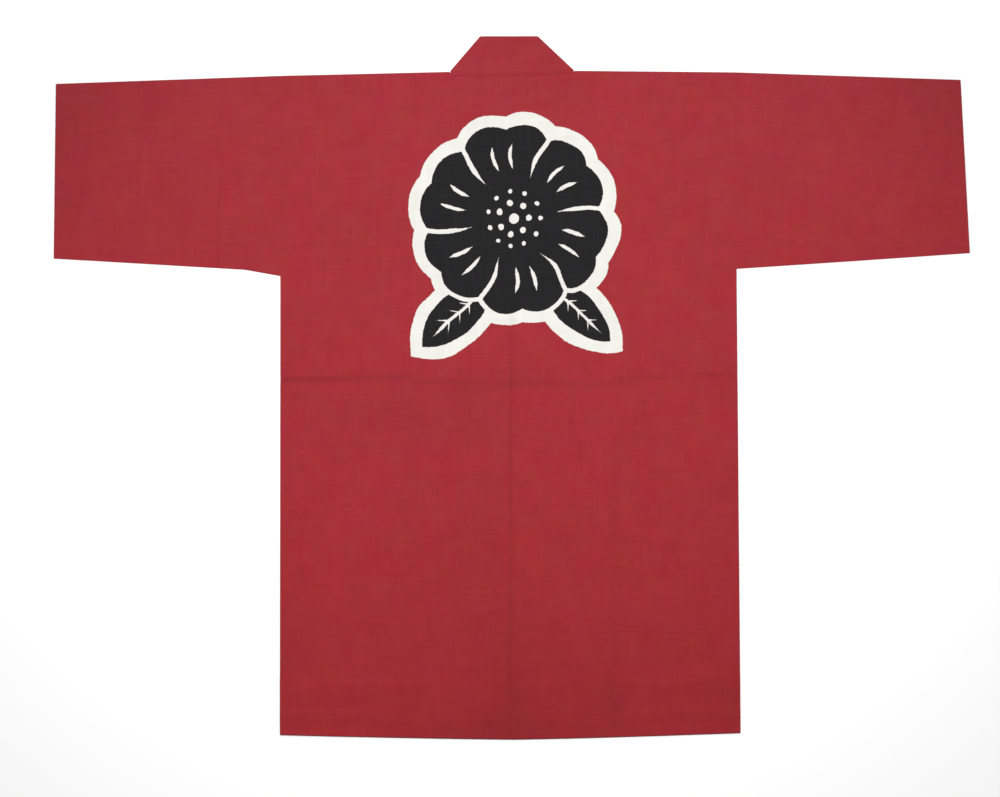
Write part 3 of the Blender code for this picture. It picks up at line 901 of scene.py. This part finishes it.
class Tree:
    """A new material, with short calls that add nodes to it."""

    def __init__(self, name):
        self.material = bpy.data.materials.new(name)
        self.material.use_nodes = True
        self.nodes, self.links = self.material.node_tree.nodes, self.material.node_tree.links
        self.shader = self.nodes["Principled BSDF"]

    def fill(self, node, inputs):
        """Links each input to the output that is given for it, or sets it."""
        for name, value in inputs.items():
            if isinstance(value, bpy.types.NodeSocket):
                self.links.new(value, node.inputs[name])
            else:
                node.inputs[name].default_value = value
        return node

    def node(self, kind, inputs=None, **settings):
        made = self.nodes.new(f"ShaderNode{kind}")
        for name, value in settings.items():
            setattr(made, name, value)
        return self.fill(made, inputs or {})

    def math(self, operation, a, b=0.0, c=0.0):
        return self.node("Math", {0: a, 1: b, 2: c}, operation=operation).outputs[0]

    add, sub, mul = map(math_method, ("ADD", "SUBTRACT", "MULTIPLY"))
    least, most = map(math_method, ("MINIMUM", "MAXIMUM"))

    def vector(self, operation, a, b=(0.0, 0.0, 0.0)):
        made = self.node("VectorMath", {0: a, 1: b}, operation=operation)
        single = operation in ("LENGTH", "DISTANCE", "DOT_PRODUCT")
        return made.outputs["Value" if single else "Vector"]

    def part(self, vector, axis):
        return self.node("SeparateXYZ", {0: vector}).outputs[axis]

    def noise(self, place, scale, detail=2.0, roughness=0.55, output="Fac"):
        mapped = self.node("Mapping", {"Vector": place, "Scale": scale}).outputs[0]
        inputs = {"Vector": mapped, "Scale": 1.0, "Detail": detail, "Roughness": roughness}
        return self.node("TexNoise", inputs).outputs[output]

    def remap(self, value, low, high, to_low, to_high, kind="LINEAR"):
        names = ("Value", "From Min", "From Max", "To Min", "To Max")
        inputs = dict(zip(names, (value, low, high, to_low, to_high)))
        return self.node("MapRange", inputs, interpolation_type=kind).outputs[0]

    def mix(self, share, a, b, blend="MIX"):
        colours = {0: share, 6: a, 7: b}
        return self.node("Mix", colours, data_type="RGBA", blend_type=blend).outputs[2]


def weave(t, place):
    """Threads over and under each other: a height from 0 to 1."""
    inputs = {"Vector": place, "Scale": WEAVE_SCALE, "Distortion": 0.6, "Detail": 1.0}
    inputs["Detail Scale"] = 0.4
    waves = [t.node("TexWave", inputs, wave_type="BANDS", bands_direction=way) for way in "XY"]
    return t.mul(waves[0].outputs["Fac"], waves[1].outputs["Fac"])


def dye_and_painted_sheen(t, place, red):
    """The dye a little more yellow or blue from place to place, and a painted sheen that pales it at
    the shoulders.
    """
    hue = t.noise(place, HUES, 3.5, 0.66, output="Color")
    # Painted sheen: more green and blue towards the shoulders, where the lamp's reflection pales the
    # red
    painted_sheen = t.remap(t.part(place, "Y"), -0.45, 0.35, 0.75, 1.02)
    tint = {"Red": 1.0}
    for socket, axis, share in UNEVEN_DYE:
        uneven = t.remap(t.part(hue, axis), *MOSTLY, 1 + share, 1 - share)
        tint[socket] = t.mul(painted_sheen, uneven)
    return t.mix(1.0, red, t.node("CombineColor", tint).outputs[0], "MULTIPLY")


@cache
def cotton(name):
    """Plain woven cotton: its threads, uneven yarn, cloudy dye and a faint bloom of fibres."""
    t = Tree(f"scene_{name}")
    place = t.node("TexCoord").outputs["Object"]
    yarn = t.add(t.noise(place, WEFT), t.noise(place, WARP))
    patches = t.add(t.noise(place, WEFT_PATCHES), t.noise(place, WARP_PATCHES))
    cloud = t.noise(place, CLOUDS, 3.0)
    calm = t.remap(t.noise(place, CALM_PLACES, 1.0), *MOSTLY, 0.45, 1.25)
    threads = weave(t, place)
    uneven_yarn = t.remap(yarn, *SUM_MOSTLY, -YARN_TONE, YARN_TONE)
    uneven = t.add(uneven_yarn, t.remap(patches, *SUM_MOSTLY, -PATCH_TONE, PATCH_TONE))
    shade = t.math("MULTIPLY_ADD", uneven, calm, 1.0)
    shade = t.mul(shade, t.remap(cloud, 0.3, 0.7, 1 - CLOUD_TONE, 1 + CLOUD_TONE))
    shade = t.mul(shade, t.remap(threads, 0.0, 1.0, 1 - WEAVE_TONE, 1 + WEAVE_TONE))
    # The tone attribute is painted shade and painted light, multiplied into the colour
    tone = t.node("Attribute", attribute_name="tone").outputs["Fac"]
    shade = t.mul(shade, t.add(tone, 1.0))
    colour = dye_and_painted_sheen(t, place, COLLAR_RED if name == "collar_cotton" else RED)
    if name == "printed_cotton":
        colour = printed(t, place, colour)
    grey = t.node("CombineColor", dict.fromkeys(range(3), shade)).outputs[0]
    relief = t.add(t.mul(threads, 0.55), t.mul(yarn, 0.40))
    relief = t.add(relief, t.mul(patches, 0.9))
    bump = t.node("Bump", {"Strength": 0.32, "Distance": 0.12 * MM, "Height": relief})
    looks = {
        "Base Color": t.mix(1.0, colour, grey, "MULTIPLY"),
        "Roughness": t.remap(yarn, *SUM_MOSTLY, 0.94, 0.80),
        "Specular IOR Level": 0.30,
        "Sheen Weight": 0.10,
        "Sheen Roughness": 0.45,
        "Sheen Tint": (1.0, 0.72, 0.72, 1.0),
        "Normal": bump.outputs[0],
    }
    t.fill(t.shader, looks)
    return t.material


# Making the pieces


# Painted shade and painted light of the creases, the seams and the lamp's fall-off, for the tone
# attribute
def painted_light_and_shade(points):
    x, y = points[:, 0], points[:, 1]
    return crease_sum(CREASES, "tone", x, y) + painted_seam_shade(x, y) + shade_tone(x, y)


def keep_open_edges_sharp(mesh):
    edge_of_corner = np.empty(len(mesh.loops), dtype=np.int32)
    mesh.loops.foreach_get("edge_index", edge_of_corner)
    is_open = np.bincount(edge_of_corner, minlength=len(mesh.edges)) == 1
    mesh.attributes.new("sharp_edge", "BOOLEAN", "EDGE").data.foreach_set("value", is_open)


def add_object(name, mesh, material):
    mesh.materials.append(material)
    made = bpy.data.objects.new(name, mesh)
    bpy.context.scene.collection.objects.link(made)
    return made


def finish(name, points, faces, material, tone):
    mesh = bpy.data.meshes.new(name)
    mesh.from_pydata(points.tolist(), [], np.concatenate(faces).tolist())
    mesh.validate()
    mesh.attributes.new("tone", "FLOAT", "POINT").data.foreach_set("value", tone.astype(np.float32))
    mesh.shade_smooth()
    keep_open_edges_sharp(mesh)
    piece = add_object(name, mesh, material)
    shell = piece.modifiers.new("Wall", "SOLIDIFY")
    shell.thickness = WALL
    shell.offset = 0.0
    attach(piece, "root")
    return piece


@cache
def thread():
    t = Tree("scene_thread")
    twist = t.noise(t.node("TexCoord").outputs["Object"], THREAD_TWIST, 1.0)
    colour = t.mix(twist, THREAD_RED, COLLAR_RED)
    t.fill(t.shader, {"Base Color": colour, "Roughness": 0.8, "Specular IOR Level": 0.2})
    return t.material


STITCH_LENGTH = 2.6 * MM
STITCH_PITCH = 4.0 * MM
STITCH_RADIUS = 0.20 * MM
STITCH_FLATNESS = 0.7
STITCH_SIDES = 6
STITCH_SHOULDER = 0.28  # where its full width begins, from its middle, as a share of its length
ROW_FROM_TURNING = 3 * MM  # from the raw edge of the turned cloth
CUFF_RISE = 0.10 * MM
LOWEST_STITCH = STITCH_RADIUS * STITCH_FLATNESS + 0.01 * MM


def stitch_points(line):
    """Middle and way of each stitch along a row of points."""
    line = np.asarray(line)
    steps = np.linalg.norm(np.diff(line[:, :2], axis=0), axis=1)
    run = np.concatenate([[0], np.cumsum(steps)])
    for s in np.arange(STITCH_PITCH / 2, run[-1], STITCH_PITCH):
        ends = [[np.interp(s + d, run, line[:, k]) for k in range(3)] for d in (-0.5 * MM, 0.5 * MM)]
        start, end = np.array(ends)
        way = (end - start) / max(1e-9, np.linalg.norm(end - start))
        yield (start + end) / 2, way


def stitches(name, lines, side):
    """Short threads along each line. side is 1 on top of the cloth and -1 under it."""
    points, faces = [], []
    for middle, way in (stitch for line in lines for stitch in stitch_points(line)):
        across = np.array([-way[1], way[0], 0.0])
        first = len(points)
        points.append(middle - way * STITCH_LENGTH / 2)
        for place in (-STITCH_SHOULDER, STITCH_SHOULDER):
            for i in range(STITCH_SIDES):
                a = math.tau * i / STITCH_SIDES
                ring = across * math.cos(a) + np.array([0, 0, side * math.sin(a) * STITCH_FLATNESS])
                points.append(middle + way * STITCH_LENGTH * place + ring * STITCH_RADIUS)
        points.append(middle + way * STITCH_LENGTH / 2)
        for i in range(STITCH_SIDES):
            a, b = first + 1 + i, first + 1 + (i + 1) % STITCH_SIDES
            faces.append((first, b, a))
            faces.append((a, b, b + STITCH_SIDES, a + STITCH_SIDES))
            faces.append((a + STITCH_SIDES, b + STITCH_SIDES, len(points) - 1))
    mesh = bpy.data.meshes.new(name)
    mesh.from_pydata([tuple(p) for p in points], [], faces)
    mesh.shade_smooth()
    piece = add_object(name, mesh, thread())
    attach(piece, "root")
    return piece


def surface_line(half, x, y, upper=True):
    """A row of points on the cloth's face along (x, y)."""
    x, y = np.asarray(x, float), np.asarray(y, float)
    if upper:
        z = back_height(half, x, y) + near_centre_seam(half, x, y)
        z = over_layers(half, x, y, z) + WALL / 2
    else:
        z = np.full_like(x, LOWEST_STITCH)
    return stack(x, y, z)


def hem_line(half, upper):
    start = 4 * MM if upper else abs(front_edge_x(half, half.hem[1])) + 2 * MM
    x = half.sign * np.arange(start, abs(half.hem[0]) - 4 * MM, 2 * MM)
    return surface_line(half, x, hem_y(half, x) + HEM_TURNING - ROW_FROM_TURNING, upper)


def cuff_line(half, upper):
    share = np.linspace(0.02, 0.98, 120)
    x = lerp(half.cuff_top[0], half.cuff_bottom[0], share)
    x = x - half.sign * (CUFF_TURNING - ROW_FROM_TURNING)
    y = lerp(half.cuff_top[1], half.cuff_bottom[1], share)
    line = surface_line(half, x, y, upper)
    if upper:
        line[:, 2] += CUFF_RISE
    return line


def collar_lines():
    neck_x = np.linspace(NECK_SEAM_X[0] + 3 * MM, NECK_SEAM_X[-1] - 3 * MM, 80)
    neck_z = np.full_like(neck_x, NECK_BAND_Z + FOLD_RADIUS + WALL / 2)
    upper = [stack(neck_x, neck_seam_y(neck_x) + 2.4 * MM, neck_z)]
    lower = []
    for half in HALVES:
        y = np.linspace(half.hem[1] + 4 * MM, half.neck[1] - 46 * MM, 300)
        x = front_edge_x(half, y) - half.sign * 2.6 * MM
        lower.append(stack(x, y, np.full_like(x, LOWEST_STITCH)))
    return upper, lower


def stitch_pair(name, upper, lower, upper_place="back"):
    """Threads on top of the cloth and under it."""
    return [stitches(f"{name}_{upper_place}", upper, 1), stitches(f"{name}_front", lower, -1)]


def both_faces(line_of):
    """A line on each half of the coat, first on the upper face and then on the lower one."""
    return [[line_of(half, upper) for half in HALVES] for upper in (True, False)]


def declare(piece, nodes):
    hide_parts(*nodes)


def make_coat():
    hem = stitch_pair("hem_stitches", *both_faces(hem_line))
    cuffs = stitch_pair("cuff_stitches", *both_faces(cuff_line))
    band = stitch_pair("collar_stitches", *collar_lines(), "neck")
    for half in HALVES:
        body_nodes = (f"{half.name}_back", f"{half.name}_front")
        declare(make_body(half), body_nodes)
        declare(make_sleeve(half), (f"{half.name}_sleeve",))
    declare(make_collar(), ("collar",))


# Floor, light and camera

FLOOR_REACH = 6.0
FLOOR_WHITE = (0.97, 0.97, 0.97, 1.0)
KEY_PLACE = (-0.03, 0.25, 1.50)  # straight above the shoulders, and it looks down
KEY_SIZE = 0.6
KEY_POWER = 18.5
ROOM_STRENGTH = 0.56
CAMERA_ABOVE = (-0.0159, -0.0142)


def floor():
    reach = FLOOR_REACH
    corners = [(-reach, -reach, 0), (reach, -reach, 0), (reach, reach, 0), (-reach, reach, 0)]
    mesh = bpy.data.meshes.new("floor")
    mesh.from_pydata(corners, [], [(0, 1, 2, 3)])
    t = Tree("pale_floor")
    t.fill(t.shader, {"Base Color": FLOOR_WHITE, "Roughness": 0.9, "Specular IOR Level": 0.1})
    ground = add_object("floor", mesh, t.material)


def light_up():
    key = bpy.data.lights.new("key", "AREA")
    key.shape = "RECTANGLE"
    key.size = KEY_SIZE
    key.size_y = KEY_SIZE
    key.energy = KEY_POWER
    lamp = bpy.data.objects.new("key", key)
    lamp.location = KEY_PLACE
    lamp.visible_camera = False
    bpy.context.scene.collection.objects.link(lamp)
    world = bpy.data.worlds.new("soft_room")
    world.use_nodes = True
    background = world.node_tree.nodes["Background"]
    background.inputs["Color"].default_value = (1.0, 1.0, 1.0, 1.0)
    background.inputs["Strength"].default_value = ROOM_STRENGTH
    bpy.context.scene.world = world
    bpy.context.scene.view_settings.view_transform = "Standard"


def camera():
    """It looks straight down, and the picture's scale gives how high it is."""
    data = bpy.data.cameras.new("camera")
    data.sensor_width = 36
    data.lens = 85
    data.clip_end = 100
    eye = bpy.data.objects.new("camera", data)
    height = PICTURE_WIDTH * PICTURE_POINT * data.lens / data.sensor_width
    eye.location = (*CAMERA_ABOVE, height)
    bpy.context.scene.collection.objects.link(eye)
    bpy.context.scene.camera = eye


make_coat()
floor()
light_up()
camera()
